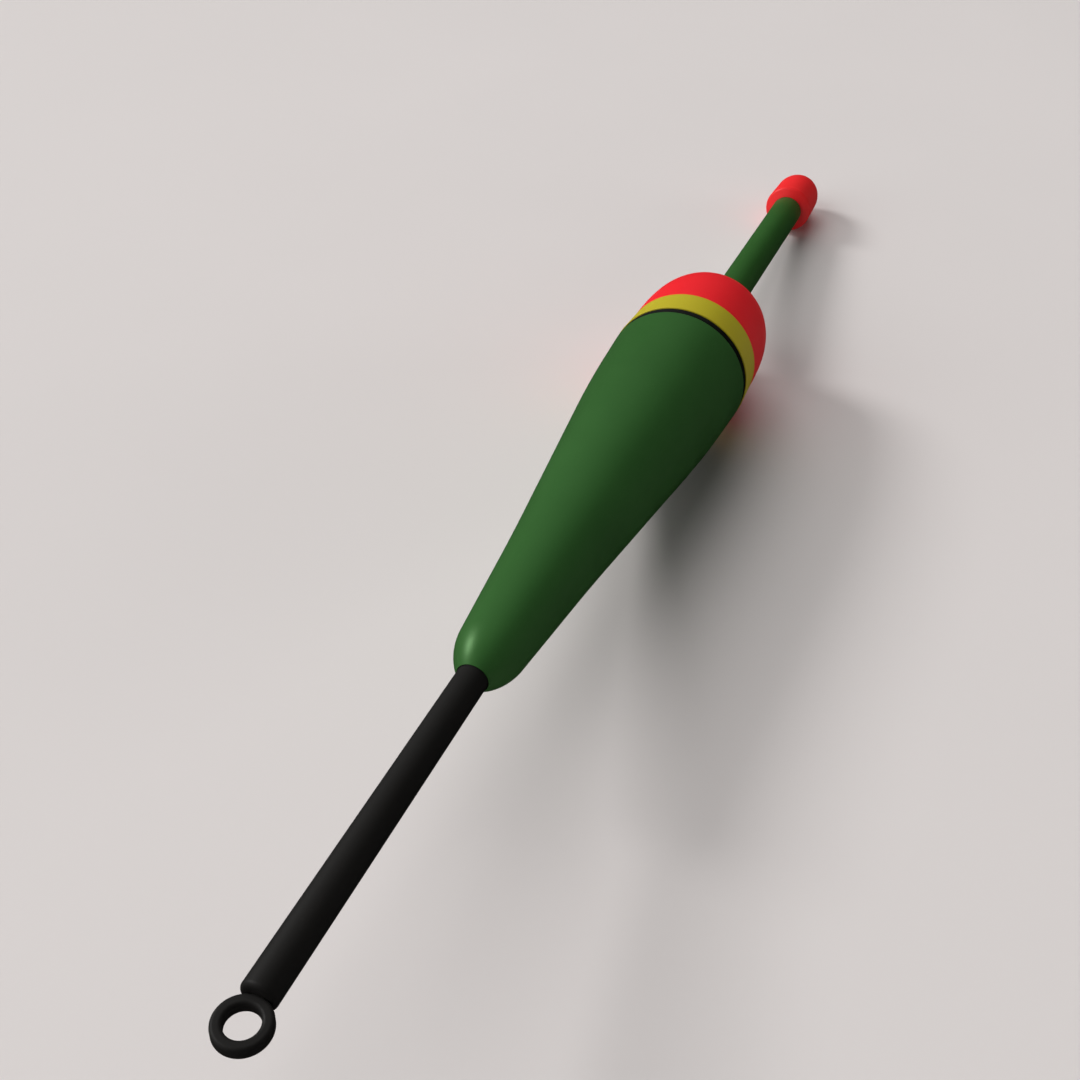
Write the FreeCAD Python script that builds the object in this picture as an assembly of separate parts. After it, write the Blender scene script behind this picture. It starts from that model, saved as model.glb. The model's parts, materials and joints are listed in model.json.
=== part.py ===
import FreeCAD, Part
import math
import os

# A bobber float: a line eye on a thin black stem, a hollow green body that widens towards a screw-on red cap
# with a yellow band, and a push-in green antenna with a red sight tip that pulls off it.
#
# Every piece is drawn upright, as the float stands in the water: heights run up the float's own axis (+Z)
# from the line eye, and radii are measured from that axis. The last step lays the finished float down on its
# side, resting on the cap and the sight tip, with its eye end to -X. All sizes are in millimetres.

# Fits
GLUE_GAP = 0.02
SLIP_GAP = 0.06

# Line eye: a ring with rounded lips, a little off the float's axis, and a spigot glued into the stem
EYE_HOLE_R = 1.62
EYE_OUTER_R = 2.72
EYE_WIDTH = 1.44
EYE_LIP_ROUND = 0.38
EYE_HEIGHT = 0.16
EYE_OFFSET = -0.27
EYE_SPIGOT_R = 0.6
EYE_SPIGOT_TOP = 11.0

# Stem: a thick-walled tube from the eye up through the nose of the body
STEM_R = 1.85
STEM_BOTTOM = 2.75
STEM_TOP = 86.0
STEM_END_ROUND = 0.5
STEM_PLUG_LENGTH = 6.0

# Body: outer flank from the nose round to the seam
NOSE_ROUND = 9.4
FLANK_START_R = 4.17
FLANK_START = 50.9
FLANK_BEND_R = 5.77
FLANK_BEND = 68.6
FLANK_BEND_ROUND = 400.0
SHOULDER_R = 9.75
SHOULDER = 104.1
SHOULDER_ROUND = 216.0
SEAM_R = 10.5
SEAM = 117.25
SEAM_EDGE_ROUND = 0.3
STEM_HOLE_RELIEF = 0.1

# Body: inner cavity
CAVITY_FLOOR = 54.0
CAVITY_FLOOR_R = 3.1
CAVITY_TOP = 108.6
CAVITY_TOP_R = 8.4
MOUTH_R = 8.6

# Screw thread between the body and the cap
PITCH = 2.0
MALE_CORE_R = 7.85
MALE_CREST_R = 8.45
MALE_CREST_WIDTH = 0.4
MALE_ROOT_WIDTH = 1.0
MALE_START = 112.0
MALE_TURNS = 2.25
FEMALE_CREST_R = 8.1
FEMALE_TURNS = 2.75
THREAD_GAP = 0.15
RIDGE_SUNK = 0.1

# Gasket in the seam
GASKET_THICKNESS = 1.2
GASKET_INNER_R = 8.75
GASKET_OUTER_R = 10.42
GASKET_EDGE_ROUND = 0.2

# Thread ring: the screwed neck that the band and the cap are glued on
NECK_BORE_R = 6.6
NECK_OUTER_R = 8.4
NECK_BOTTOM = 111.2
NECK_TOP = 129.2

# Colour band and cap
BAND_BOTTOM_R = 10.54
BAND_EDGE_ROUND = 0.04
BAND_HEIGHT = 5.2
CAP_R = 10.32
CAP_HEIGHT = 16.08
CAP_ROUNDNESS = 3.08
CAP_OUTLINE_POINTS = 12
CAP_CEILING = 137.5
CAP_CEILING_R = 6.2
CAP_INNER_R = 8.0
CAP_INNER_SHOULDER = 132.5

# Antenna socket: a blind bush hung from the cap's ceiling
BUSH_OUTER_R = 3.9
BUSH_FLANGE_R = 5.6
BUSH_FLANGE = 1.2
BUSH_FLOOR_TOP = 128.2
BUSH_FLOOR = 1.2
BUSH_TOP = 138.6
CAP_HOLE_GAP = 0.15

# Antenna: a thin tube with a plug in its foot and a stepped pin in its upper end
ANTENNA_R = 2.7
ANTENNA_BORE_R = 2.1
ANTENNA_TOP = 184.95
FOOT_FLANGE = 0.8
FOOT_PLUG_LENGTH = 5.0
STOP_GAP = 0.05
PIN_ROOT_LENGTH = 7.0
PIN_R = 1.5
PIN_LENGTH = 7.4

# Sight tip
TIP_UNDERSIDE_R = 2.75
TIP_R = 4.22
TIP_UNDERSIDE = 0.8
TIP_WALL_TOP_R = 4.03
TIP_WALL = 6.4
TIP_DOME = 5.0
TIP_CREASE_ROUND = 0.7

# Ballast in the nose: a tapered slug, trim discs and a nut on the stem
BALLAST_CLEARANCE = 0.15
SLUG_LENGTH = 18.0
DISC_COUNT = 3
DISC_THICKNESS = 2.0
DISC_EDGE_CLEARANCE = 0.35
NUT_ACROSS_FLATS = 7.0
NUT_HEIGHT = 3.0

# How the finished float lies
LYING_TILT = 5.6

AXIS = FreeCAD.Vector(0, 0, 1)
BASE = FreeCAD.Vector(0, 0, 0)
BAND_BOTTOM = SEAM + GASKET_THICKNESS
CAP_BOTTOM = BAND_BOTTOM + BAND_HEIGHT
ANTENNA_BOTTOM = BUSH_FLOOR_TOP + STOP_GAP + FOOT_FLANGE
TIP_BOTTOM = ANTENNA_TOP + STOP_GAP


def point(radius, height):
    """A point of an outline, in the half plane that is turned about the float's axis."""
    return FreeCAD.Vector(radius, 0, height)


def rounded_path(corners):
    """Edges through corners given as (radius, height) or (radius, height, rounding)."""
    edges = []
    here = point(*corners[0][:2])
    for index in range(1, len(corners)):
        corner = point(*corners[index][:2])
        rounding = corners[index][2] if len(corners[index]) > 2 else 0
        if not rounding:
            edges.append(Part.LineSegment(here, corner).toShape())
            here = corner
            continue
        back = (point(*corners[index - 1][:2]) - corner).normalize()
        onward = (point(*corners[index + 1][:2]) - corner).normalize()
        half_angle = back.getAngle(onward) / 2
        tangent_length = rounding / math.tan(half_angle)
        centre = corner + (back + onward).normalize() * (rounding / math.sin(half_angle))
        first = corner + back * tangent_length
        last = corner + onward * tangent_length
        middle = centre + (corner - centre).normalize() * rounding
        edges.append(Part.LineSegment(here, first).toShape())
        edges.append(Part.Arc(first, middle, last).toShape())
        here = last
    return edges


def turned(edges):
    """The solid swept by a closed outline turned once about the axis."""
    return Part.Face(Part.Wire(Part.__sortEdges__(edges))).revolve(BASE, AXIS, 360)


def turned_corners(corners):
    """A turned solid from corners alone; the outline closes on its first corner."""
    return turned(rounded_path(list(corners) + [corners[0][:2]]))


def rod(radius, bottom, top):
    return Part.makeCylinder(radius, top - bottom, point(0, bottom))


def sleeve(inner, outer, bottom, top):
    return rod(outer, bottom, top).cut(rod(inner, bottom, top))


def cavity_radius(height):
    """Radius of the body's tapered cavity at a height."""
    share = (height - CAVITY_FLOOR) / (CAVITY_TOP - CAVITY_FLOOR)
    return CAVITY_FLOOR_R + share * (CAVITY_TOP_R - CAVITY_FLOOR_R)


def eye_loop(swell):
    """The eye's ring with its hole along +X, swollen all round where it makes its own seat."""
    inner = EYE_HOLE_R - swell
    outer = EYE_OUTER_R + swell
    half_width = EYE_WIDTH / 2 + swell
    rounding = EYE_LIP_ROUND + swell
    ring = turned_corners([
        (inner, 0),
        (inner, -half_width, rounding),
        (outer, -half_width, rounding),
        (outer, half_width, rounding),
        (inner, half_width, rounding),
    ])
    ring.rotate(BASE, FreeCAD.Vector(0, 1, 0), 90)
    ring.translate(FreeCAD.Vector(0, EYE_OFFSET, EYE_HEIGHT))
    return ring


def ridge_width(radius):
    """Width of the male ridge at a radius; its flanks are straight."""
    share = (radius - MALE_CORE_R) / (MALE_CREST_R - MALE_CORE_R)
    return MALE_ROOT_WIDTH + share * (MALE_CREST_WIDTH - MALE_ROOT_WIDTH)


def groove_width(radius):
    """Width left free for the male ridge between the turns of the female one."""
    flank_slope = (MALE_ROOT_WIDTH - MALE_CREST_WIDTH) / 2 / (MALE_CREST_R - MALE_CORE_R)
    return ridge_width(radius) + 2 * THREAD_GAP * math.hypot(1, flank_slope)


def thread_ridge(root_radius, root_width, crest_radius, crest_width, bottom, turns):
    """A right-hand helical ridge of trapezoidal section."""
    profile = Part.makePolygon([
        point(root_radius, bottom - root_width / 2),
        point(crest_radius, bottom - crest_width / 2),
        point(crest_radius, bottom + crest_width / 2),
        point(root_radius, bottom + root_width / 2),
        point(root_radius, bottom - root_width / 2),
    ])
    helix = Part.makeHelix(PITCH, PITCH * turns, root_radius)
    helix.translate(point(0, bottom))
    return Part.Wire(helix.Edges).makePipeShell([profile], True, True)


def male_ridge():
    root_r = MALE_CORE_R - RIDGE_SUNK
    return thread_ridge(root_r, ridge_width(root_r), MALE_CREST_R, MALE_CREST_WIDTH, MALE_START, MALE_TURNS)


def female_ridge():
    root_r = MOUTH_R + RIDGE_SUNK
    root_width = PITCH - groove_width(root_r)
    crest_width = PITCH - groove_width(FEMALE_CREST_R)
    return thread_ridge(root_r, root_width, FEMALE_CREST_R, crest_width, MALE_START - PITCH / 2, FEMALE_TURNS)


def eye_ring():
    middle_r = (EYE_HOLE_R + EYE_OUTER_R) / 2
    return eye_loop(0).fuse(rod(EYE_SPIGOT_R, EYE_HEIGHT + middle_r, EYE_SPIGOT_TOP))


def stem_tube():
    bore = EYE_SPIGOT_R + GLUE_GAP
    tube = turned_corners([
        (bore, STEM_BOTTOM),
        (STEM_R, STEM_BOTTOM, STEM_END_ROUND),
        (STEM_R, STEM_TOP),
        (bore, STEM_TOP),
    ])
    return tube.cut(eye_loop(GLUE_GAP))


def stem_plug():
    return rod(EYE_SPIGOT_R, STEM_TOP - STEM_PLUG_LENGTH, STEM_TOP)


def nose_arc():
    """The nose's arc, from the mouth of the stem's hole to the flank, and the height where it starts."""
    slope = math.atan2(FLANK_BEND_R - FLANK_START_R, FLANK_BEND - FLANK_START)
    centre_r = FLANK_START_R - NOSE_ROUND * math.cos(slope)
    centre_z = FLANK_START + NOSE_ROUND * math.sin(slope)
    hole_r = STEM_R + STEM_HOLE_RELIEF
    nose_z = centre_z - math.sqrt(NOSE_ROUND ** 2 - (hole_r - centre_r) ** 2)
    start_angle = math.atan2(nose_z - centre_z, hole_r - centre_r)
    middle_angle = (start_angle - slope) / 2
    middle_r = centre_r + NOSE_ROUND * math.cos(middle_angle)
    middle_z = centre_z + NOSE_ROUND * math.sin(middle_angle)
    nose = Part.Arc(point(hole_r, nose_z), point(middle_r, middle_z), point(FLANK_START_R, FLANK_START))
    return nose.toShape(), nose_z


def body_shell():
    nose, nose_z = nose_arc()
    hole_r = STEM_R + GLUE_GAP
    relief_r = STEM_R + STEM_HOLE_RELIEF
    flank_and_inside = rounded_path([
        (FLANK_START_R, FLANK_START),
        (FLANK_BEND_R, FLANK_BEND, FLANK_BEND_ROUND),
        (SHOULDER_R, SHOULDER, SHOULDER_ROUND),
        (SEAM_R, SEAM, SEAM_EDGE_ROUND),
        (MOUTH_R, SEAM),
        (MOUTH_R, CAVITY_TOP),
        (CAVITY_TOP_R, CAVITY_TOP),
        (CAVITY_FLOOR_R, CAVITY_FLOOR),
        (hole_r, CAVITY_FLOOR),
        (hole_r, nose_z + STEM_HOLE_RELIEF),
        (relief_r, nose_z),
    ])
    return turned([nose] + flank_and_inside).fuse(female_ridge())


def gasket():
    top = BAND_BOTTOM
    return turned_corners([
        (GASKET_INNER_R, SEAM),
        (GASKET_OUTER_R, SEAM, GASKET_EDGE_ROUND),
        (GASKET_OUTER_R, top, GASKET_EDGE_ROUND),
        (GASKET_INNER_R, top),
    ])


def thread_ring():
    neck = turned_corners([
        (NECK_BORE_R, NECK_BOTTOM),
        (MALE_CORE_R, NECK_BOTTOM),
        (MALE_CORE_R, BAND_BOTTOM),
        (NECK_OUTER_R, BAND_BOTTOM),
        (NECK_OUTER_R, NECK_TOP),
        (NECK_BORE_R, NECK_TOP),
    ])
    return neck.fuse(male_ridge())


def colour_band():
    inner = NECK_OUTER_R + GLUE_GAP
    return turned_corners([
        (inner, BAND_BOTTOM),
        (BAND_BOTTOM_R, BAND_BOTTOM, BAND_EDGE_ROUND),
        (CAP_R, CAP_BOTTOM),
        (inner, CAP_BOTTOM),
    ])


def cap_radius(height):
    """Outer radius of the dome: a superellipse, fuller than a plain ellipse."""
    share = (height - CAP_BOTTOM) / CAP_HEIGHT
    return CAP_R * (1 - share ** CAP_ROUNDNESS) ** (1 / CAP_ROUNDNESS)


def cap_top():
    """Height at which the dome has come in to the antenna's hole."""
    hole_r = ANTENNA_R + CAP_HOLE_GAP
    return CAP_BOTTOM + CAP_HEIGHT * (1 - (hole_r / CAP_R) ** CAP_ROUNDNESS) ** (1 / CAP_ROUNDNESS)


def cap_shell():
    hole_r = ANTENNA_R + CAP_HOLE_GAP
    top = cap_top()
    dome_points = []
    for index in range(CAP_OUTLINE_POINTS):
        share = math.sin(math.pi / 2 * index / (CAP_OUTLINE_POINTS - 1))
        height = CAP_BOTTOM + share * (top - CAP_BOTTOM)
        dome_points.append(point(cap_radius(height), height))
    dome = Part.BSplineCurve()
    dome.interpolate(dome_points)
    neck_r = NECK_OUTER_R + GLUE_GAP
    bush_r = BUSH_OUTER_R + GLUE_GAP
    inside = rounded_path([
        (dome_points[-1].x, top),
        (hole_r, top),
        (hole_r, BUSH_TOP),
        (bush_r, BUSH_TOP),
        (bush_r, CAP_CEILING),
        (CAP_CEILING_R, CAP_CEILING),
        (CAP_INNER_R, CAP_INNER_SHOULDER),
        (CAP_INNER_R, NECK_TOP),
        (neck_r, NECK_TOP),
        (neck_r, CAP_BOTTOM),
        (CAP_R, CAP_BOTTOM),
    ])
    inside = [edge for edge in inside if edge.Length > 1e-6]
    return turned([dome.toShape()] + inside)


def socket_bush():
    bore = ANTENNA_R + SLIP_GAP
    return turned_corners([
        (0, BUSH_FLOOR_TOP - BUSH_FLOOR),
        (BUSH_OUTER_R, BUSH_FLOOR_TOP - BUSH_FLOOR),
        (BUSH_OUTER_R, CAP_CEILING - BUSH_FLANGE),
        (BUSH_FLANGE_R, CAP_CEILING - BUSH_FLANGE),
        (BUSH_FLANGE_R, CAP_CEILING),
        (BUSH_OUTER_R, CAP_CEILING),
        (BUSH_OUTER_R, BUSH_TOP),
        (bore, BUSH_TOP),
        (bore, BUSH_FLOOR_TOP),
        (0, BUSH_FLOOR_TOP),
    ])


def antenna_tube():
    return sleeve(ANTENNA_BORE_R, ANTENNA_R, ANTENNA_BOTTOM, ANTENNA_TOP)


def foot_plug():
    flange = rod(ANTENNA_R, ANTENNA_BOTTOM - FOOT_FLANGE, ANTENNA_BOTTOM)
    spigot = rod(ANTENNA_BORE_R - GLUE_GAP, ANTENNA_BOTTOM, ANTENNA_BOTTOM + FOOT_PLUG_LENGTH)
    return flange.fuse(spigot)


def tip_pin():
    root = rod(ANTENNA_BORE_R - GLUE_GAP, ANTENNA_TOP - PIN_ROOT_LENGTH, ANTENNA_TOP)
    pin = rod(PIN_R, ANTENNA_TOP, ANTENNA_TOP + PIN_LENGTH)
    return root.fuse(pin)


def sight_tip():
    bore = PIN_R + SLIP_GAP
    bore_top = ANTENNA_TOP + PIN_LENGTH + 3 * STOP_GAP
    crease = TIP_BOTTOM + TIP_UNDERSIDE
    wall_top = crease + TIP_WALL
    below = rounded_path([
        (bore, TIP_BOTTOM),
        (TIP_UNDERSIDE_R, TIP_BOTTOM),
        (TIP_R, crease, TIP_CREASE_ROUND),
        (TIP_WALL_TOP_R, wall_top),
    ])
    ellipse = Part.Ellipse(point(0, wall_top + TIP_DOME), point(TIP_WALL_TOP_R, wall_top), point(0, wall_top))
    dome = ellipse.toShape(0, math.pi / 2)
    above = rounded_path([
        (0, wall_top + TIP_DOME),
        (0, bore_top),
        (bore, bore_top),
        (bore, TIP_BOTTOM),
    ])
    return turned(below + [dome] + above)


def ballast_slug():
    inner = STEM_R + GLUE_GAP
    bottom = CAVITY_FLOOR + STOP_GAP
    top = CAVITY_FLOOR + SLUG_LENGTH
    return turned_corners([
        (inner, bottom),
        (cavity_radius(bottom) - BALLAST_CLEARANCE, bottom),
        (cavity_radius(top) - BALLAST_CLEARANCE, top),
        (inner, top),
    ])


def trim_discs():
    """A stack of equal-thickness discs above the slug, each as wide as the cavity allows."""
    inner = STEM_R + GLUE_GAP
    discs = []
    for index in range(DISC_COUNT):
        bottom = CAVITY_FLOOR + SLUG_LENGTH + STOP_GAP + index * (DISC_THICKNESS + STOP_GAP)
        outer = cavity_radius(bottom) - DISC_EDGE_CLEARANCE
        discs.append(sleeve(inner, outer, bottom, bottom + DISC_THICKNESS))
    return Part.makeCompound(discs)


def ballast_nut():
    bottom = CAVITY_FLOOR + SLUG_LENGTH + STOP_GAP + DISC_COUNT * (DISC_THICKNESS + STOP_GAP)
    corner_r = NUT_ACROSS_FLATS / math.sqrt(3)
    corners = []
    for index in range(7):
        angle = math.radians(60 * index)
        corners.append(FreeCAD.Vector(corner_r * math.cos(angle), corner_r * math.sin(angle), bottom))
    prism = Part.Face(Part.makePolygon(corners)).extrude(FreeCAD.Vector(0, 0, NUT_HEIGHT))
    return prism.cut(rod(STEM_R + GLUE_GAP, bottom, bottom + NUT_HEIGHT))


def lying_placement(shapes):
    """Turns the upright float onto its side and sets the middle of its box's base at the origin."""
    turn = FreeCAD.Placement(BASE, FreeCAD.Rotation(FreeCAD.Vector(0, 1, 0), 90 + LYING_TILT))
    laid = Part.makeCompound([shape.transformed(turn.toMatrix()) for shape in shapes])
    box = laid.optimalBoundingBox(False, False)
    shift = FreeCAD.Vector(-(box.XMin + box.XMax) / 2, -(box.YMin + box.YMax) / 2, -box.ZMin)
    return FreeCAD.Placement(shift, turn.Rotation)


PIECES = (eye_ring, stem_tube, stem_plug, body_shell, ballast_slug, trim_discs, ballast_nut, gasket,
          thread_ring, colour_band, cap_shell, socket_bush, antenna_tube, foot_plug, tip_pin, sight_tip)


def main():
    os.makedirs("parts", exist_ok=True)
    upright = {piece.__name__: piece() for piece in PIECES}
    placement = lying_placement(upright.values())
    for name, shape in upright.items():
        laid = shape.transformed(placement.toMatrix())
        laid.exportStep("parts/" + name + ".step")
        print(name, "valid", laid.isValid(), "solids", len(laid.Solids), "volume %.2f" % laid.Volume)
    print("shift", placement.Base)


main()
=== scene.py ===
import bpy
import bmesh
import json
import math
from mathutils import Matrix, Vector


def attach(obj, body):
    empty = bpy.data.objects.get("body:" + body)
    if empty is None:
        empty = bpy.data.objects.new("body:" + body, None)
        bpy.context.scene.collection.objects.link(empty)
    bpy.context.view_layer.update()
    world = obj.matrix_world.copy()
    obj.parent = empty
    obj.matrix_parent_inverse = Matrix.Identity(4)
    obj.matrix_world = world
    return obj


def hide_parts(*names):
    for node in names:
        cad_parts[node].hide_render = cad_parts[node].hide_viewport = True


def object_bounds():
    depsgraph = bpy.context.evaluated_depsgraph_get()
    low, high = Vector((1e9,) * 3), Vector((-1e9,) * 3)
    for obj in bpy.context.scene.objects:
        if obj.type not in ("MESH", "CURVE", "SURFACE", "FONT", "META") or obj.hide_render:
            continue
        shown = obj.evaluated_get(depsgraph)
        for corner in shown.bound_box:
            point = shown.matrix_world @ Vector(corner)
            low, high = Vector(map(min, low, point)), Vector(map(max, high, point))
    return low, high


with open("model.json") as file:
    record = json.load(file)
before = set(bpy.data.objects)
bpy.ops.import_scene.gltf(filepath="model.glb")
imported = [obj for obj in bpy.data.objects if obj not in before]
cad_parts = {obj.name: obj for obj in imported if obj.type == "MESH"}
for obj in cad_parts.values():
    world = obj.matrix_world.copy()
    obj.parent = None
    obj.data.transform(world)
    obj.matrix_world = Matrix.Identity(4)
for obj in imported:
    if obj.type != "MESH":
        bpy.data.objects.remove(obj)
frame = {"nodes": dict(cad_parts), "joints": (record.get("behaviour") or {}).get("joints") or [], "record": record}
cad_low, cad_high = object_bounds()
record = frame["record"]

# A bobber float lying on its side. Each piece is turned upright, in millimetres, as an outline of
# (radius, height) about the float's own axis: heights start at the line eye and run towards the sight tip.
# LAID puts an upright piece, in metres, into the frame.
MM = 0.001

# How finely the pieces are divided
SEGMENTS = 192
ARC_STEP = math.radians(5)
FEWEST_ARC_STEPS = 4
LONGEST_RUN = 1.5
NOSE_STEPS = 24
CAP_STEPS = 48
DOME_STEPS = 32
THREAD_STEPS = 96
SHARP_ANGLE = math.radians(40)

# Vertices closer than the first and edges shorter than the second, in metres, become one vertex
MERGE_DISTANCE = 1e-7
SHORTEST_EDGE = 1e-8

# Height of the stem_sleeve mount above the line eye, in millimetres
SLEEVE_HEIGHT = 28.0

eye_mount = next(m for m in record["mounts"] if m["name"] == "line_eye")
sleeve_mount = next(m for m in record["mounts"] if m["name"] == "stem_sleeve")
cap_joint = next(j for j in frame["joints"] if j["name"] == "cap_turn")
float_axis = Vector(cap_joint["axis"]).normalized()
eye_axis = Vector(eye_mount["axis"]).normalized()
side_axis = float_axis.cross(eye_axis).normalized()
axis_start = Vector(sleeve_mount["pos_m"]) - float_axis * SLEEVE_HEIGHT * MM
LAID = Matrix.Translation(axis_start) @ Matrix((eye_axis, side_axis, float_axis)).transposed().to_4x4()
eye_centre = LAID.inverted() @ Vector(eye_mount["pos_m"])   # upright, in metres


def span_of(node):
    """Lowest and highest height of a CAD node along the float's axis, in millimetres."""
    along = [(v.co - axis_start).dot(float_axis) / MM for v in frame["nodes"][node].data.vertices]
    return min(along), max(along)


def reach_of(node):
    """Largest distance of a CAD node from the float's axis, in millimetres."""
    return max((v.co - axis_start).cross(float_axis).length for v in frame["nodes"][node].data.vertices) / MM


# ---------------------------------------------------------------- sizes, in millimetres

# Roundings that several pieces share, and the gap at every glued joint
SMALL_EDGE = 0.12
SOFT_EDGE = 0.15
PLUG_EDGE = 0.3
GLUE_GAP = 0.02

# Line eye and stem
EYE_HOLE_R = eye_mount["dims"]["r_mm"]
EYE_OUTER_R = 2.72
EYE_WIDTH = 1.44
EYE_LIP_ROUND = 0.38
EYE_SPIGOT_R = 0.6
EYE_SPIGOT_TOP = 11.0
STEM_R = 1.85
STEM_BOTTOM, STEM_TOP = 2.75, 86.0
STEM_END_ROUND = 0.5

# Body
NOSE_ROUND = 9.4
HOLE_RELIEF = 0.1
FLANK_START_R, FLANK_START = 4.17, 50.9
FLANK_BEND_R, FLANK_BEND, FLANK_BEND_ROUND = 5.77, 68.6, 400
SHOULDER_R, SHOULDER, SHOULDER_ROUND = 9.75, 104.1, 216
SEAM_R, SEAM = 10.5, 117.25
SEAM_EDGE = 0.3
MOUTH_R = 8.6
CAVITY_FLOOR_R, CAVITY_FLOOR = 3.1, 54.0
CAVITY_TOP_R, CAVITY_TOP = 8.4, 108.6

# Screw thread: ridges of trapezoidal section
PITCH = 2.0
RIDGE_SUNK = 0.1
FEMALE_CREST_R, FEMALE_CREST_WIDTH, FEMALE_ROOT_WIDTH = 8.1, 0.95, 1.45
FEMALE_START, FEMALE_TURNS = 111.0, 2.75
MALE_CORE_R, MALE_CREST_R, MALE_CREST_WIDTH, MALE_ROOT_WIDTH = 7.85, 8.45, 0.4, 1.0
MALE_START, MALE_TURNS = 112.0, 2.25

# Gasket, thread ring, band and cap
GASKET_INNER_R, GASKET_OUTER_R, GASKET_ROUND = 8.75, 10.42, 0.2
BAND_BOTTOM = span_of("colour_band")[0]
CAP_BOTTOM = span_of("cap_shell")[0]
NECK_BORE_R, NECK_OUTER_R = 6.6, 8.4
NECK_BOTTOM, NECK_TOP = span_of("thread_ring")
BAND_BOTTOM_R = 10.54
BAND_EDGE = 0.06
CAP_R = reach_of("cap_shell")
CAP_HEIGHT = 16.08
CAP_ROUNDNESS = 3.08
CAP_HOLE_R = 2.85
CAP_CEILING_R, CAP_CEILING = 6.2, 137.5
CAP_INNER_R, CAP_INNER_SHOULDER = 8.0, 132.5
BUSH_OUTER_R, BUSH_FLANGE_R, BUSH_FLANGE = 3.9, 5.6, 1.2
BUSH_BOTTOM, BUSH_TOP = span_of("socket_bush")
BUSH_FLOOR = 1.2
BUSH_BORE_R = 2.76

# Antenna and sight tip
ANTENNA_R, ANTENNA_BORE_R = 2.7, 2.1
ANTENNA_BOTTOM, ANTENNA_TOP = span_of("antenna_tube")
ANTENNA_FOOT_EDGE = 0.08
FOOT_BOTTOM, FOOT_TOP = span_of("foot_plug")
FOOT_EDGE = 0.2
PIN_BOTTOM, PIN_TOP = span_of("tip_pin")
PIN_R, PIN_BORE_R = 1.5, 1.56
PIN_ROOT_EDGE, PIN_END_ROUND, PIN_END_GAP = 0.2, 0.4, 0.15
TIP_BOTTOM, TIP_TOP = span_of("sight_tip")
TIP_UNDERSIDE_R, TIP_R, TIP_WALL_TOP_R = 2.75, 4.22, 4.03
TIP_UNDERSIDE, TIP_WALL = 0.8, 6.4
TIP_CREASE_ROUND = 0.7
TIP_BORE_TOP = PIN_TOP + PIN_END_GAP

# Ballast
SLUG_BOTTOM, SLUG_TOP = span_of("ballast_slug")
DISC_BOTTOM, DISC_TOP = span_of("trim_discs")
DISC_COUNT = 3
DISC_THICKNESS = 2.0
DISC_EDGE = 0.25
SLUG_CLEARANCE, DISC_CLEARANCE = 0.15, 0.35


# ---------------------------------------------------------------- outlines

def rounded(corners):
    """A closed outline through corners (radius, height) or (radius, height, rounding); arcs become points."""
    points = []
    for index, corner in enumerate(corners):
        here = Vector(corner[:2])
        rounding = corner[2] if len(corner) > 2 else 0
        if not rounding:
            points.append(here)
            continue
        back = (Vector(corners[index - 1][:2]) - here).normalized()
        onward = (Vector(corners[(index + 1) % len(corners)][:2]) - here).normalized()
        half_angle = back.angle(onward) / 2
        centre = here + (back + onward).normalized() * (rounding / math.sin(half_angle))
        first = here + back * (rounding / math.tan(half_angle)) - centre
        turn = math.pi - 2 * half_angle
        if onward.x * back.y - onward.y * back.x < 0:
            turn = -turn
        steps = max(FEWEST_ARC_STEPS, math.ceil(abs(turn) / ARC_STEP))
        for step in range(steps + 1):
            points.append(centre + Matrix.Rotation(turn * step / steps, 2) @ first)
    return points


def spaced(points):
    """The same closed outline with its long runs divided."""
    result = []
    for here, there in zip(points, points[1:] + points[:1]):
        pieces = max(1, math.ceil((there - here).length / LONGEST_RUN))
        for piece in range(pieces):
            result.append(here.lerp(there, piece / pieces))
    return result


# ---------------------------------------------------------------- meshes

def mesh_from(name, vertices, faces):
    """A closed mesh from upright vertices in millimetres."""
    mesh = bpy.data.meshes.new(name)
    mesh.from_pydata([Vector(v) * MM for v in vertices], [], faces)
    bm = bmesh.new()
    bm.from_mesh(mesh)
    bmesh.ops.remove_doubles(bm, verts=bm.verts, dist=MERGE_DISTANCE)
    bmesh.ops.dissolve_degenerate(bm, edges=bm.edges, dist=SHORTEST_EDGE)
    bmesh.ops.recalc_face_normals(bm, faces=bm.faces)
    bm.to_mesh(mesh)
    bm.free()
    return mesh


def object_from(name, mesh):
    """An object of an upright mesh, laid down in the frame."""
    obj = bpy.data.objects.new(name, mesh)
    bpy.context.scene.collection.objects.link(obj)
    obj.matrix_world = LAID
    return obj


def lathe(name, outline):
    """A closed solid turned from a closed outline."""
    vertices = []
    for radius, height in outline:
        for k in range(SEGMENTS):
            angle = 2 * math.pi * k / SEGMENTS
            vertices.append((max(radius, 0) * math.cos(angle), max(radius, 0) * math.sin(angle), height))
    faces = []
    for row in range(len(outline)):
        below = row * SEGMENTS
        above = (row + 1) % len(outline) * SEGMENTS
        for k in range(SEGMENTS):
            after = (k + 1) % SEGMENTS
            faces.append((below + k, below + after, above + after, above + k))
    return object_from(name, mesh_from(name, vertices, faces))


def ridge(name, root_r, root_width, crest_r, crest_width, bottom, turns):
    """A right-hand helical ridge of trapezoidal section, closed at both ends."""
    section = [(root_r, -root_width / 2), (crest_r, -crest_width / 2),
               (crest_r, crest_width / 2), (root_r, root_width / 2)]
    steps = round(THREAD_STEPS * turns)
    vertices = []
    for step in range(steps + 1):
        angle = 2 * math.pi * turns * step / steps
        rise = bottom + PITCH * turns * step / steps
        for radius, height in section:
            vertices.append((radius * math.cos(angle), radius * math.sin(angle), rise + height))
    count = len(section)
    faces = [tuple(range(count)), tuple(steps * count + k for k in reversed(range(count)))]
    for step in range(steps):
        for k in range(count):
            here, after = step * count + k, step * count + (k + 1) % count
            faces.append((here, here + count, after + count, after))
    return object_from(name, mesh_from(name, vertices, faces))


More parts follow.
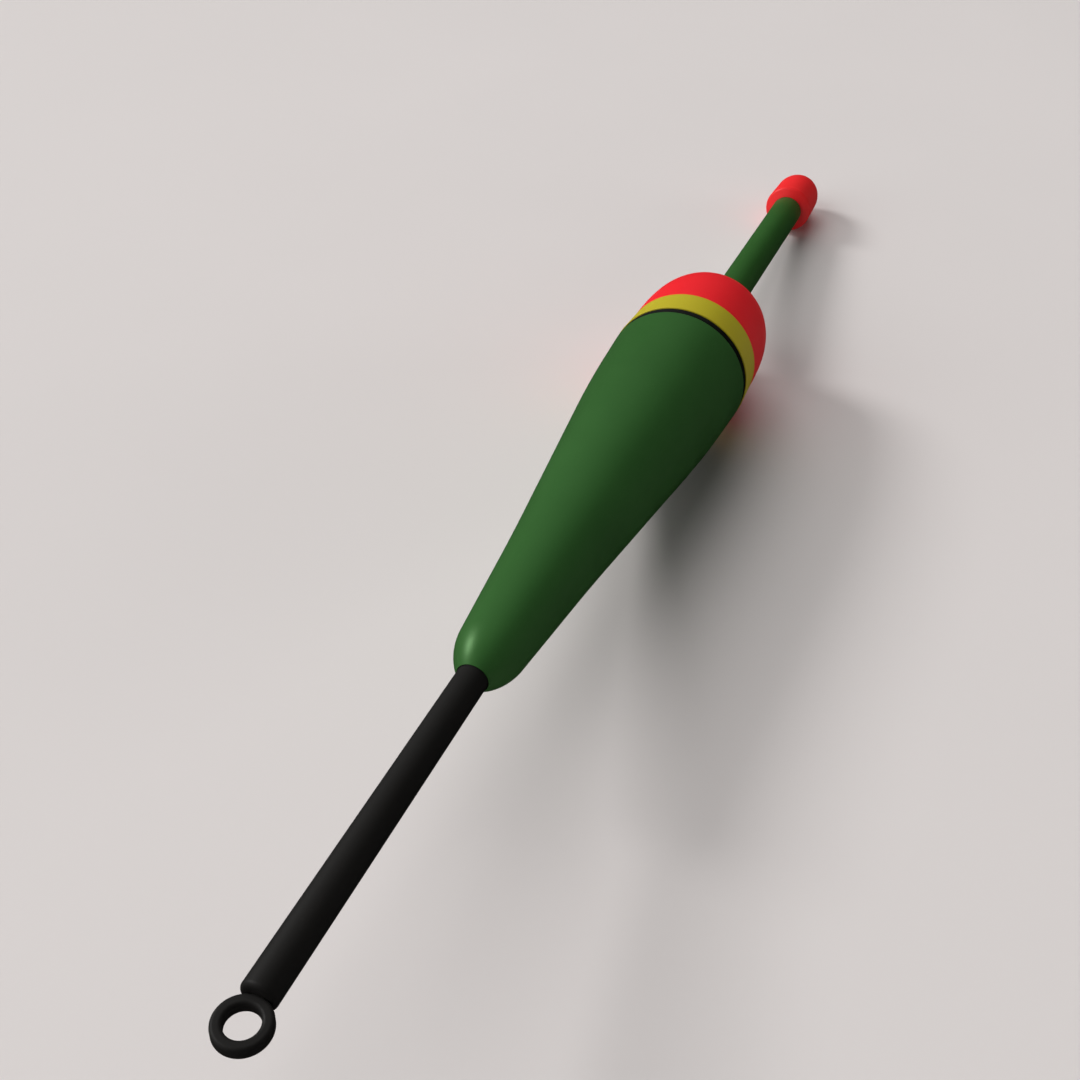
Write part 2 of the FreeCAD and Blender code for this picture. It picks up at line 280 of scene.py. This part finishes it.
def combined(obj, tool, operation):
    """obj with a boolean of tool applied; the tool goes."""
    modifier = obj.modifiers.new("combined", "BOOLEAN")
    modifier.object = tool
    modifier.operation = operation
    modifier.solver = "EXACT"
    bpy.context.view_layer.update()
    mesh = bpy.data.meshes.new_from_object(obj.evaluated_get(bpy.context.evaluated_depsgraph_get()))
    obj.modifiers.clear()
    obj.data = mesh
    bpy.data.objects.remove(tool)
    return obj


def eye_loop(name, swell):
    """The line eye's ring, its hole along the local X axis, swollen all round where it makes its own seat."""
    inner = EYE_HOLE_R - swell
    outer = EYE_OUTER_R + swell
    half_width = EYE_WIDTH / 2 + swell
    rounding = EYE_LIP_ROUND + swell
    ring = lathe(name, rounded([
        (inner, -half_width, rounding), (outer, -half_width, rounding),
        (outer, half_width, rounding), (inner, half_width, rounding)]))
    ring.data.transform(Matrix.Translation(eye_centre) @ Matrix.Rotation(math.pi / 2, 4, "Y"))
    return ring


# ---------------------------------------------------------------- the pieces

def eye_ring(name):
    root = eye_centre.z / MM + (EYE_HOLE_R + EYE_OUTER_R) / 2
    spigot = lathe("spigot", rounded([
        (0, root), (EYE_SPIGOT_R, root), (EYE_SPIGOT_R, EYE_SPIGOT_TOP, SMALL_EDGE), (0, EYE_SPIGOT_TOP)]))
    return combined(eye_loop(name, 0), spigot, "UNION")


def stem_tube(name):
    bore = EYE_SPIGOT_R + GLUE_GAP
    stem = lathe(name, spaced(rounded([
        (bore, STEM_BOTTOM), (STEM_R, STEM_BOTTOM, STEM_END_ROUND), (STEM_R, STEM_TOP, SMALL_EDGE),
        (bore, STEM_TOP)])))
    return combined(stem, eye_loop("seat", GLUE_GAP), "DIFFERENCE")


def nose_points():
    """The nose's arc, from the mouth of the stem's hole to the flank, which it meets smoothly."""
    slope = math.atan2(FLANK_BEND_R - FLANK_START_R, FLANK_BEND - FLANK_START)
    inward = NOSE_ROUND * Vector((-math.cos(slope), math.sin(slope)))
    centre = Vector((FLANK_START_R, FLANK_START)) + inward
    start = -math.acos((STEM_R + HOLE_RELIEF - centre.x) / NOSE_ROUND)
    points = []
    for step in range(NOSE_STEPS + 1):
        angle = start + (-slope - start) * step / NOSE_STEPS
        points.append(centre + NOSE_ROUND * Vector((math.cos(angle), math.sin(angle))))
    return points


def body_shell(name):
    nose = nose_points()
    hole_r = STEM_R + GLUE_GAP
    rest = rounded([
        (FLANK_START_R, FLANK_START), (FLANK_BEND_R, FLANK_BEND, FLANK_BEND_ROUND),
        (SHOULDER_R, SHOULDER, SHOULDER_ROUND), (SEAM_R, SEAM, SEAM_EDGE), (MOUTH_R, SEAM, SMALL_EDGE),
        (MOUTH_R, CAVITY_TOP), (CAVITY_TOP_R, CAVITY_TOP), (CAVITY_FLOOR_R, CAVITY_FLOOR),
        (hole_r, CAVITY_FLOOR), (hole_r, nose[0].y + HOLE_RELIEF)])
    body = lathe(name, spaced(nose[:-1] + rest))
    thread = ridge("thread", MOUTH_R + RIDGE_SUNK, FEMALE_ROOT_WIDTH, FEMALE_CREST_R, FEMALE_CREST_WIDTH,
                   FEMALE_START, FEMALE_TURNS)
    return combined(body, thread, "UNION")


def gasket(name):
    return lathe(name, spaced(rounded([
        (GASKET_INNER_R, SEAM), (GASKET_OUTER_R, SEAM, GASKET_ROUND),
        (GASKET_OUTER_R, BAND_BOTTOM, GASKET_ROUND), (GASKET_INNER_R, BAND_BOTTOM)])))


def thread_ring(name):
    neck = lathe(name, spaced(rounded([
        (NECK_BORE_R, NECK_BOTTOM, SMALL_EDGE), (MALE_CORE_R, NECK_BOTTOM, SMALL_EDGE),
        (MALE_CORE_R, BAND_BOTTOM), (NECK_OUTER_R, BAND_BOTTOM), (NECK_OUTER_R, NECK_TOP, SMALL_EDGE),
        (NECK_BORE_R, NECK_TOP, SMALL_EDGE)])))
    thread = ridge("thread", MALE_CORE_R - RIDGE_SUNK, MALE_ROOT_WIDTH + 2 * RIDGE_SUNK, MALE_CREST_R,
                   MALE_CREST_WIDTH, MALE_START, MALE_TURNS)
    return combined(neck, thread, "UNION")


def colour_band(name):
    inner = NECK_OUTER_R + GLUE_GAP
    return lathe(name, spaced(rounded([
        (inner, BAND_BOTTOM), (BAND_BOTTOM_R, BAND_BOTTOM, BAND_EDGE), (CAP_R, CAP_BOTTOM),
        (inner, CAP_BOTTOM)])))


def dome_points():
    """The cap's superellipse, from its rim in to the antenna's hole."""
    top_share = (1 - (CAP_HOLE_R / CAP_R) ** CAP_ROUNDNESS) ** (1 / CAP_ROUNDNESS)
    points = []
    for step in range(CAP_STEPS + 1):
        share = top_share * math.sin(math.pi / 2 * step / CAP_STEPS)
        radius = CAP_R * (1 - share ** CAP_ROUNDNESS) ** (1 / CAP_ROUNDNESS)
        points.append(Vector((radius, CAP_BOTTOM + share * CAP_HEIGHT)))
    return points


def cap_shell(name):
    neck_r = NECK_OUTER_R + GLUE_GAP
    bush_r = BUSH_OUTER_R + GLUE_GAP
    inside = [
        (CAP_HOLE_R, BUSH_TOP), (bush_r, BUSH_TOP), (bush_r, CAP_CEILING), (CAP_CEILING_R, CAP_CEILING),
        (CAP_INNER_R, CAP_INNER_SHOULDER), (CAP_INNER_R, NECK_TOP), (neck_r, NECK_TOP), (neck_r, CAP_BOTTOM)]
    return lathe(name, spaced(dome_points() + rounded(inside)))


def socket_bush(name):
    flange = CAP_CEILING - BUSH_FLANGE
    floor_top = BUSH_BOTTOM + BUSH_FLOOR
    return lathe(name, spaced(rounded([
        (0, BUSH_BOTTOM), (BUSH_OUTER_R, BUSH_BOTTOM, PLUG_EDGE), (BUSH_OUTER_R, flange),
        (BUSH_FLANGE_R, flange, SMALL_EDGE), (BUSH_FLANGE_R, CAP_CEILING, SMALL_EDGE),
        (BUSH_OUTER_R, CAP_CEILING), (BUSH_OUTER_R, BUSH_TOP, SMALL_EDGE),
        (BUSH_BORE_R, BUSH_TOP, SMALL_EDGE), (BUSH_BORE_R, floor_top), (0, floor_top)])))


def antenna_tube(name):
    return lathe(name, spaced(rounded([
        (ANTENNA_BORE_R, ANTENNA_BOTTOM), (ANTENNA_R, ANTENNA_BOTTOM, ANTENNA_FOOT_EDGE),
        (ANTENNA_R, ANTENNA_TOP, SOFT_EDGE), (ANTENNA_BORE_R, ANTENNA_TOP, SOFT_EDGE)])))


def foot_plug(name):
    spigot_r = ANTENNA_BORE_R - GLUE_GAP
    return lathe(name, rounded([
        (0, FOOT_BOTTOM), (ANTENNA_R, FOOT_BOTTOM, FOOT_EDGE), (ANTENNA_R, ANTENNA_BOTTOM, ANTENNA_FOOT_EDGE),
        (spigot_r, ANTENNA_BOTTOM), (spigot_r, FOOT_TOP, PLUG_EDGE), (0, FOOT_TOP)]))


def tip_pin(name):
    root_r = ANTENNA_BORE_R - GLUE_GAP
    return lathe(name, spaced(rounded([
        (0, PIN_BOTTOM), (root_r, PIN_BOTTOM, PIN_ROOT_EDGE), (root_r, ANTENNA_TOP, SMALL_EDGE),
        (PIN_R, ANTENNA_TOP), (PIN_R, PIN_TOP, PIN_END_ROUND), (0, PIN_TOP)])))


def sight_tip(name):
    crease = TIP_BOTTOM + TIP_UNDERSIDE
    wall_top = crease + TIP_WALL
    below = rounded([
        (0, TIP_BORE_TOP), (PIN_BORE_R, TIP_BORE_TOP), (PIN_BORE_R, TIP_BOTTOM, SOFT_EDGE),
        (TIP_UNDERSIDE_R, TIP_BOTTOM, SOFT_EDGE), (TIP_R, crease, TIP_CREASE_ROUND),
        (TIP_WALL_TOP_R, wall_top)])
    dome = []
    for step in range(1, DOME_STEPS + 1):
        angle = math.pi / 2 * step / DOME_STEPS
        rise = (TIP_TOP - wall_top) * math.sin(angle)
        dome.append(Vector((TIP_WALL_TOP_R * math.cos(angle), wall_top + rise)))
    return lathe(name, spaced(below + dome))


def cavity_radius(height):
    """Radius of the body's tapering cavity at a height."""
    share = (height - CAVITY_FLOOR) / (CAVITY_TOP - CAVITY_FLOOR)
    return CAVITY_FLOOR_R + share * (CAVITY_TOP_R - CAVITY_FLOOR_R)


def ballast_slug(name):
    inner = STEM_R + GLUE_GAP
    return lathe(name, spaced(rounded([
        (inner, SLUG_BOTTOM), (cavity_radius(SLUG_BOTTOM) - SLUG_CLEARANCE, SLUG_BOTTOM, SOFT_EDGE),
        (cavity_radius(SLUG_TOP) - SLUG_CLEARANCE, SLUG_TOP, PLUG_EDGE), (inner, SLUG_TOP, SMALL_EDGE)])))


def trim_discs(name):
    inner = STEM_R + GLUE_GAP
    step = (DISC_TOP - DISC_BOTTOM - DISC_THICKNESS) / (DISC_COUNT - 1)
    discs = []
    for index in range(DISC_COUNT):
        low = DISC_BOTTOM + index * step
        high = low + DISC_THICKNESS
        outer = cavity_radius(low) - DISC_CLEARANCE
        discs.append(lathe(f"{name}_{index + 1}", rounded([
            (inner, low, SOFT_EDGE), (outer, low, DISC_EDGE), (outer, high, DISC_EDGE),
            (inner, high, SOFT_EDGE)])))
    return discs


# ---------------------------------------------------------------- materials

NOISE_ROUGHNESS = 0.55


class Surface:
    """A node material on a Principled shader, with helpers that each add one layer of detail."""

    def __init__(self, name, specular=0.5):
        self.material = bpy.data.materials.new(name)
        self.material.use_nodes = True
        self.tree = self.material.node_tree
        self.shader = self.tree.nodes["Principled BSDF"]
        self.shader.inputs["Specular IOR Level"].default_value = specular
        self.place = self.node("ShaderNodeTexCoord").outputs["Object"]
        self.relief = None

    def node(self, kind, **inputs):
        made = self.tree.nodes.new(kind)
        for key, value in inputs.items():
            self.feed(made.inputs[key], value)
        return made

    def feed(self, socket, value):
        if isinstance(value, bpy.types.NodeSocket):
            self.tree.links.new(value, socket)
        else:
            socket.default_value = value

    def noise(self, size_mm, detail=3, stretch=(1, 1, 1)):
        """Noise whose features are about size_mm across, times stretch along each of the piece's axes."""
        place = self.node("ShaderNodeMapping", Vector=self.place)
        place.inputs["Scale"].default_value = [1 / (s * size_mm * MM) for s in stretch]
        found = self.node("ShaderNodeTexNoise", Vector=place.outputs[0], Scale=1, Detail=detail,
                          Roughness=NOISE_ROUGHNESS)
        return found.outputs["Fac"]

    def ranged(self, value, low, high, start=0.3, end=0.7):
        """Runs from low to high while value runs from start to end."""
        found = self.node("ShaderNodeMapRange", Value=value)
        found.inputs["From Min"].default_value = start
        found.inputs["From Max"].default_value = end
        found.inputs["To Min"].default_value = low
        found.inputs["To Max"].default_value = high
        return found.outputs[0]

    def mixed(self, share, one, other):
        """The first colour where share is 0, the second where it is 1."""
        found = self.node("ShaderNodeMix")
        found.data_type = "RGBA"
        self.feed(found.inputs["Factor"], share)
        self.feed(found.inputs["A"], one)
        self.feed(found.inputs["B"], other)
        return found.outputs["Result"]

    def bump(self, height, depth_mm):
        """Adds a relief of about depth_mm on top of any relief there already is."""
        found = self.node("ShaderNodeBump", Height=height, Distance=depth_mm * MM)
        if self.relief is not None:
            self.feed(found.inputs["Normal"], self.relief)
        self.relief = found.outputs[0]

    def done(self, colour, roughness):
        self.feed(self.shader.inputs["Base Color"], colour)
        self.feed(self.shader.inputs["Roughness"], roughness)
        if self.relief is not None:
            self.feed(self.shader.inputs["Normal"], self.relief)
        return self.material


def rgba(*linear):
    return (*linear, 1.0)


def painted(name, colour, deeper, paler, roughness, specular=0.3, tint=(1, 1, 1)):
    """Satin paint or dyed plastic: soft blotches, fine orange-peel relief, faint handling wear."""
    surface = Surface(name, specular)
    surface.shader.inputs["Specular Tint"].default_value = rgba(*tint)
    blotches = surface.ranged(surface.noise(size_mm=14, detail=2), low=0, high=1)
    shade = surface.mixed(blotches, rgba(*deeper), rgba(*colour))
    specks = surface.ranged(surface.noise(size_mm=0.35, detail=2), low=0, high=0.35, start=0.6, end=0.8)
    shade = surface.mixed(specks, shade, rgba(*paler))
    surface.bump(surface.noise(size_mm=0.9, detail=2), depth_mm=0.006)
    surface.bump(surface.noise(size_mm=0.22, detail=2), depth_mm=0.0025)
    rubbed = surface.noise(size_mm=5, detail=4, stretch=(1, 1, 3))
    gloss = surface.ranged(rubbed, low=roughness - 0.05, high=roughness + 0.06)
    return surface.done(shade, gloss)


def green_paint():
    return painted("green_paint", colour=(0.034, 0.113, 0.027), deeper=(0.030, 0.101, 0.024),
                   paler=(0.044, 0.13, 0.036), roughness=0.40, specular=0.5, tint=(0.5, 1.0, 0.4))


def green_plastic():
    return painted("green_plastic", colour=(0.029, 0.103, 0.021), deeper=(0.025, 0.092, 0.018),
                   paler=(0.04, 0.12, 0.03), roughness=0.48)


def red_paint():
    return painted("red_paint", colour=(0.88, 0.020, 0.028), deeper=(0.83, 0.018, 0.025),
                   paler=(0.90, 0.05, 0.05), roughness=0.46)


def tip_red_paint():
    return painted("tip_red", colour=(0.89, 0.026, 0.028), deeper=(0.84, 0.023, 0.025),
                   paler=(0.91, 0.05, 0.05), roughness=0.46)


def yellow_paint():
    return painted("yellow_paint", colour=(0.50, 0.425, 0.025), deeper=(0.475, 0.40, 0.022),
                   paler=(0.55, 0.475, 0.048), roughness=0.46)


def black_plastic():
    """Drawn black plastic: fine dust and faint lines along its length."""
    surface = Surface("black_plastic", specular=0.2)
    blotches = surface.ranged(surface.noise(size_mm=9, stretch=(1, 1, 2)), low=0, high=1)
    shade = surface.mixed(blotches, rgba(0.0115, 0.0108, 0.0102), rgba(0.0145, 0.0136, 0.0128))
    dust = surface.ranged(surface.noise(size_mm=0.4, detail=2), low=0, high=0.3, start=0.62, end=0.8)
    shade = surface.mixed(dust, shade, rgba(0.022, 0.021, 0.02))
    surface.bump(surface.noise(size_mm=0.3), depth_mm=0.004)
    surface.bump(surface.noise(size_mm=0.5, detail=2, stretch=(0.3, 0.3, 12)), depth_mm=0.003)
    rubbed = surface.noise(size_mm=4, detail=4, stretch=(1, 1, 3))
    return surface.done(shade, surface.ranged(rubbed, low=0.50, high=0.62))


def gasket_rubber():
    surface = Surface("gasket_rubber", specular=0.3)
    blotches = surface.ranged(surface.noise(size_mm=1.2), low=0, high=1)
    # Black seal rubber, its colour deepened below the black plastic's: painted shade, so the seam between body and
    # yellow band reads as dark as a shadowed gap.
    shade = surface.mixed(blotches, rgba(0.004, 0.004, 0.004), rgba(0.008, 0.008, 0.0075))
    surface.bump(surface.noise(size_mm=0.2), depth_mm=0.006)
    return surface.done(shade, surface.ranged(surface.noise(size_mm=2), low=0.72, high=0.9))


def white_nylon():
    """Slightly translucent moulded nylon, for the pieces that show only when the float is opened."""
    surface = Surface("white_nylon")
    surface.shader.inputs["Subsurface Weight"].default_value = 0.15
    surface.shader.inputs["Subsurface Radius"].default_value = (1.0 * MM, 0.9 * MM, 0.7 * MM)
    blotches = surface.ranged(surface.noise(size_mm=6), low=0, high=1)
    shade = surface.mixed(blotches, rgba(0.66, 0.64, 0.57), rgba(0.74, 0.72, 0.66))
    surface.bump(surface.noise(size_mm=0.3), depth_mm=0.004)
    return surface.done(shade, surface.ranged(surface.noise(size_mm=3), low=0.38, high=0.52))


def turned_brass():
    """Tarnished brass with fine rings from the lathe."""
    surface = Surface("turned_brass")
    surface.shader.inputs["Metallic"].default_value = 1.0
    tarnish = surface.ranged(surface.noise(size_mm=3, detail=4), low=0, high=1, start=0.4, end=0.75)
    shade = surface.mixed(tarnish, rgba(0.62, 0.44, 0.17), rgba(0.40, 0.27, 0.11))
    surface.bump(surface.noise(size_mm=0.12, detail=2, stretch=(30, 30, 1)), depth_mm=0.004)
    return surface.done(shade, surface.ranged(surface.noise(size_mm=1.5, detail=4), low=0.22, high=0.40))


def floor_paper():
    """Matt, warm off-white paper."""
    surface = Surface("floor_paper", specular=0.2)
    blotches = surface.ranged(surface.noise(size_mm=120), low=0, high=1)
    shade = surface.mixed(blotches, rgba(0.731, 0.687, 0.672), rgba(0.749, 0.703, 0.688))
    surface.bump(surface.noise(size_mm=1.2, detail=4), depth_mm=0.01)
    return surface.done(shade, surface.ranged(surface.noise(size_mm=20), low=0.86, high=0.95))


# ---------------------------------------------------------------- putting it together

def dress(obj, node, body, material):
    """Gives a piece its material and smooth shading, ties it to its body and hides the CAD node it stands in for.
    """
    obj.data.materials.clear()
    obj.data.materials.append(material)
    obj.data.shade_smooth()
    obj.data.set_sharp_from_angle(angle=SHARP_ANGLE)
    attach(obj, body)
    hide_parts(node)


def build_pieces():
    black = black_plastic()
    green = green_paint()
    tube_green = green_plastic()
    red = red_paint()
    tip_red = tip_red_paint()
    yellow = yellow_paint()
    seam_shade_rubber = gasket_rubber()
    nylon = white_nylon()
    brass = turned_brass()
    dress(eye_ring("line_eye"), "eye_ring", "hull", black)
    dress(stem_tube("stem"), "stem_tube", "hull", black)
    dress(body_shell("body"), "body_shell", "hull", green)
    dress(ballast_slug("slug"), "ballast_slug", "hull", brass)
    for disc in trim_discs("trim_disc"):
        dress(disc, "trim_discs", "hull", brass)
    dress(gasket("seal_ring"), "gasket", "seal", seam_shade_rubber)
    dress(thread_ring("threaded_neck"), "thread_ring", "cap", nylon)
    dress(colour_band("yellow_ring"), "colour_band", "cap", yellow)
    dress(cap_shell("cap"), "cap_shell", "cap", red)
    dress(socket_bush("antenna_socket"), "socket_bush", "cap", nylon)
    dress(antenna_tube("antenna"), "antenna_tube", "antenna", tube_green)
    dress(foot_plug("antenna_foot"), "foot_plug", "antenna", nylon)
    dress(tip_pin("pin"), "tip_pin", "antenna", nylon)
    dress(sight_tip("tip"), "sight_tip", "tip", tip_red)
    # The two pieces whose CAD shape is shown as it is
    for node, material in (("stem_plug", nylon), ("ballast_nut", brass)):
        kept = frame["nodes"][node]
        kept.data.materials.clear()
        kept.data.materials.append(material)


# ---------------------------------------------------------------- camera, floor and light

CAMERA_FROM_START = Vector((-0.03819, -0.04304, 0.10268))
CAMERA_HEADING = math.radians(22.755)
CAMERA_PITCH = math.radians(42.75)
FIELD_OF_VIEW = math.radians(45)
SENSOR_WIDTH_MM = 36
NEAREST, FARTHEST = 0.005, 20

FLOOR_SIZE = 8.0
MIDDLE = (cad_low + cad_high) / 2
AMBIENT = 0.02


def direction_of(heading, height):
    """The unit vector at a heading from +X and a height above the level, both in radians."""
    level = math.cos(height)
    return Vector((level * math.cos(heading), level * math.sin(heading), math.sin(height)))


def make_camera():
    data = bpy.data.cameras.new("camera")
    data.sensor_width = SENSOR_WIDTH_MM
    data.angle = FIELD_OF_VIEW
    data.clip_start = NEAREST
    data.clip_end = FARTHEST
    camera = bpy.data.objects.new("camera", data)
    bpy.context.scene.collection.objects.link(camera)
    forward = direction_of(CAMERA_HEADING, -CAMERA_PITCH)
    camera.location = axis_start + CAMERA_FROM_START
    camera.rotation_euler = forward.to_track_quat("-Z", "Y").to_euler()
    bpy.context.scene.camera = camera


def make_floor():
    mesh = bpy.data.meshes.new("floor")
    half = FLOOR_SIZE / 2
    corners = [(-half, -half, 0), (half, -half, 0), (half, half, 0), (-half, half, 0)]
    mesh.from_pydata(corners, [], [(0, 1, 2, 3)])
    floor = bpy.data.objects.new("floor", mesh)
    bpy.context.scene.collection.objects.link(floor)
    mesh.materials.append(floor_paper())
    floor.visible_glossy = False


def make_light(name, heading, height, distance, width, power, reflected=False):
    """A round light that faces the float: heading and height in degrees, distance and width in metres."""
    data = bpy.data.lights.new(name, "AREA")
    data.shape = "DISK"
    data.size = width
    data.energy = power
    light = bpy.data.objects.new(name, data)
    bpy.context.scene.collection.objects.link(light)
    direction = direction_of(math.radians(heading), math.radians(height))
    light.location = MIDDLE + direction * distance
    light.rotation_euler = (-direction).to_track_quat("-Z", "Y").to_euler()
    light.visible_glossy = reflected


def make_lights():
    """A small side light, the only one that shows in reflections, and three broad soft ones."""
    make_light("side_light", heading=87, height=33, distance=6.0, width=1.68, power=184.0, reflected=True)
    make_light("back_light", heading=25, height=46, distance=20.0, width=20.0, power=2230.0)
    make_light("front_light", heading=138, height=32, distance=4.0, width=4.0, power=95.0)
    make_light("low_light", heading=-75, height=12, distance=6.0, width=2.4, power=48.0)


def make_world():
    """Faint even light from all round, which doesn't show in reflections."""
    world = bpy.data.worlds.new("world")
    world.use_nodes = True
    background = world.node_tree.nodes["Background"]
    background.inputs["Color"].default_value = rgba(1, 1, 1)
    background.inputs["Strength"].default_value = AMBIENT
    world.cycles_visibility.glossy = False
    bpy.context.scene.world = world


build_pieces()
make_camera()
make_floor()
make_lights()
make_world()
bpy.context.scene.view_settings.view_transform = "Standard"
